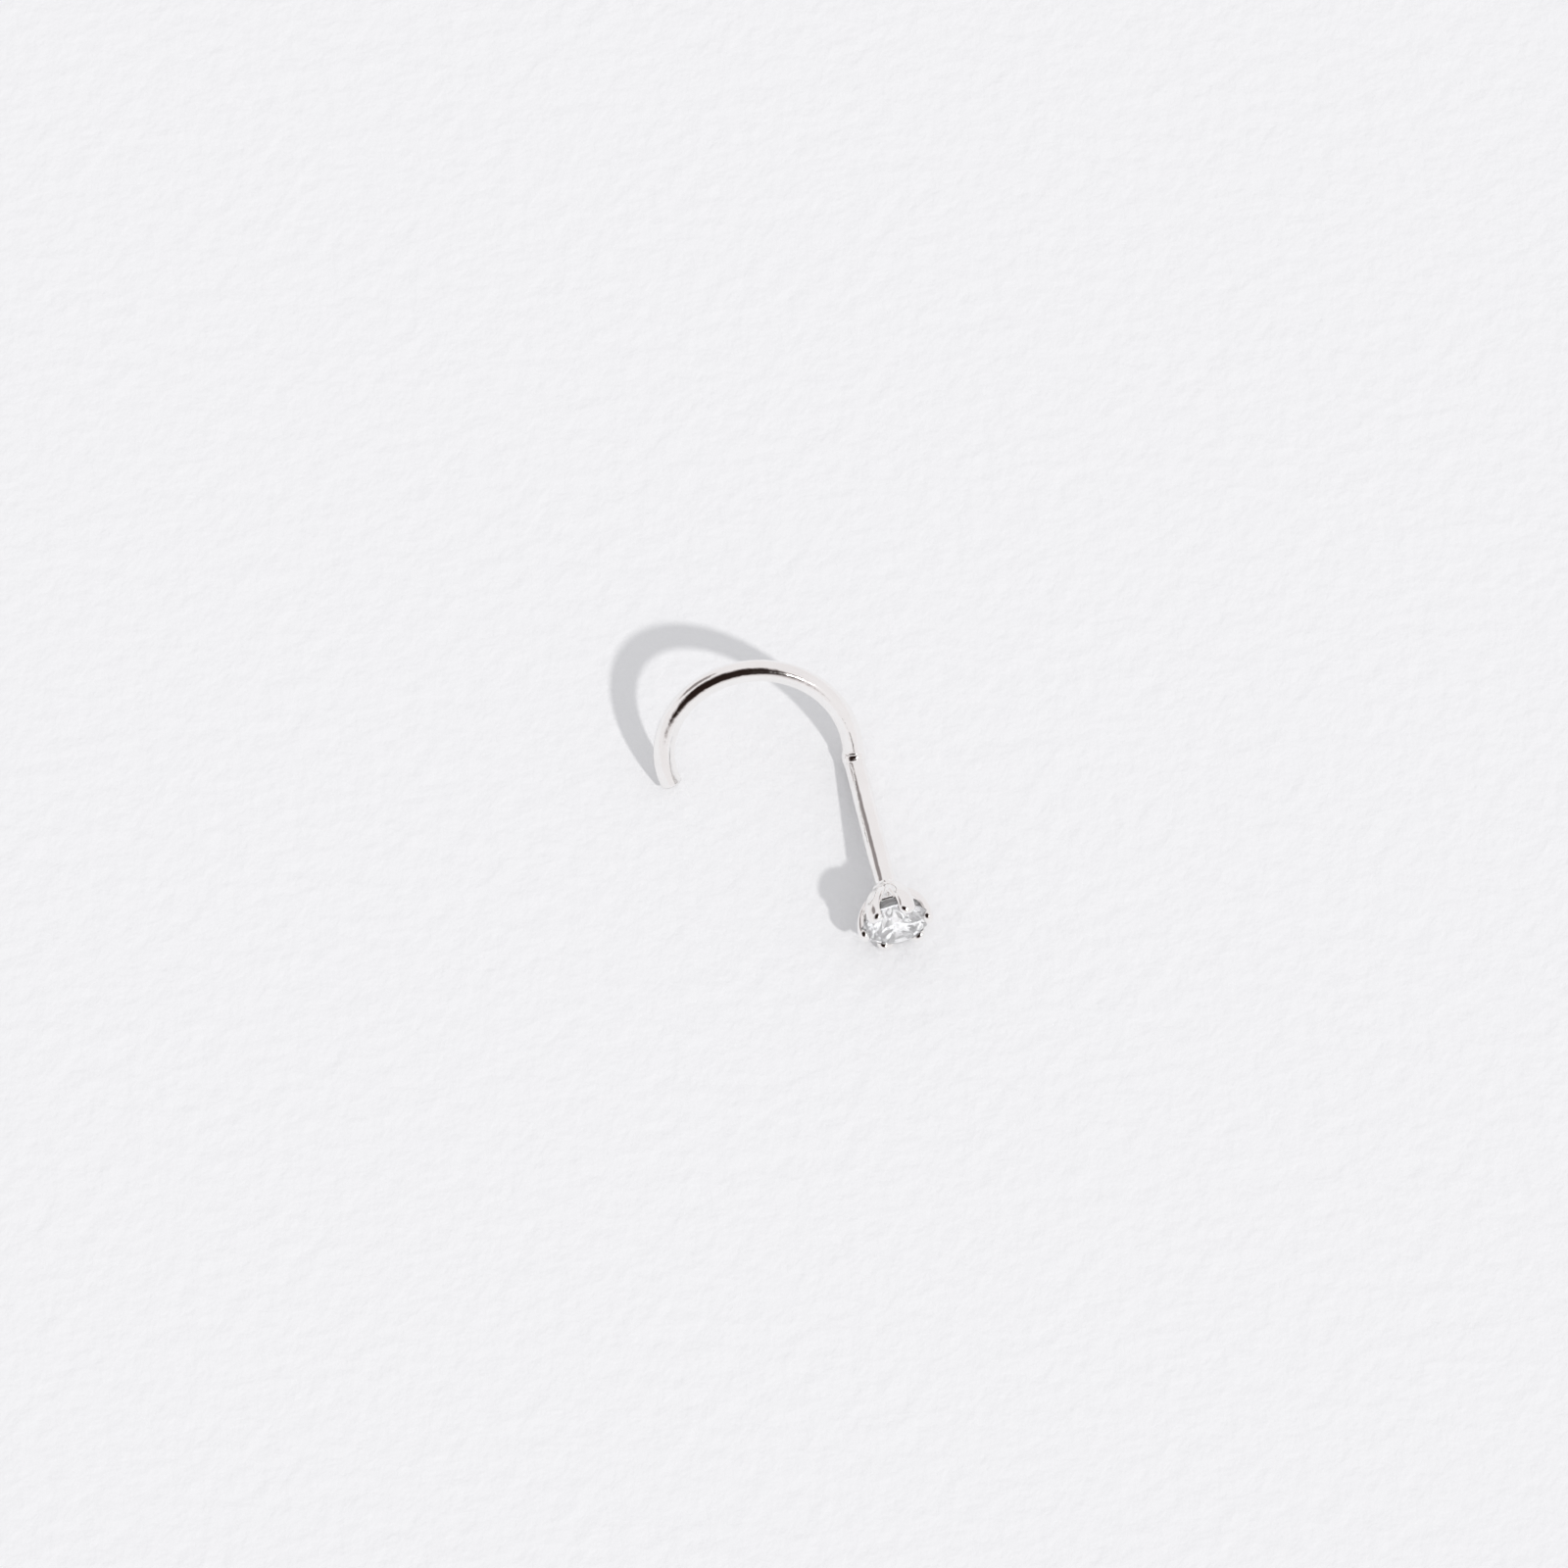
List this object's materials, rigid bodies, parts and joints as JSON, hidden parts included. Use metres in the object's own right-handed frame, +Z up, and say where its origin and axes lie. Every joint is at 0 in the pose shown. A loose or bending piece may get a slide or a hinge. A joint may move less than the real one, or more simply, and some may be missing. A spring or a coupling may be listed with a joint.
{
  "type": "nose stud",
  "caption": "Nose screw: a round wire post bent into a C-shaped hook, with a prong-set round clear stone at the other end.",
  "frame": {"origin": "bottom centre of the bounding box, on the surface that the stud lies on", "axes": "+Z up as the stud lies; the post runs along -Y from the bend to the stone; the hook reaches towards -X and up"},
  "size_m": [0.007, 0.0088, 0.0033],
  "materials": {
    "polished_silver": "polished sterling silver with faint draw and handling marks",
    "clear_stone": "clear colourless brilliant-cut cubic zirconia, polished"
  },
  "bodies": {
    "root": {"silver_frame": "polished_silver", "stone": "clear_stone"}
  },
  "joints": []
}
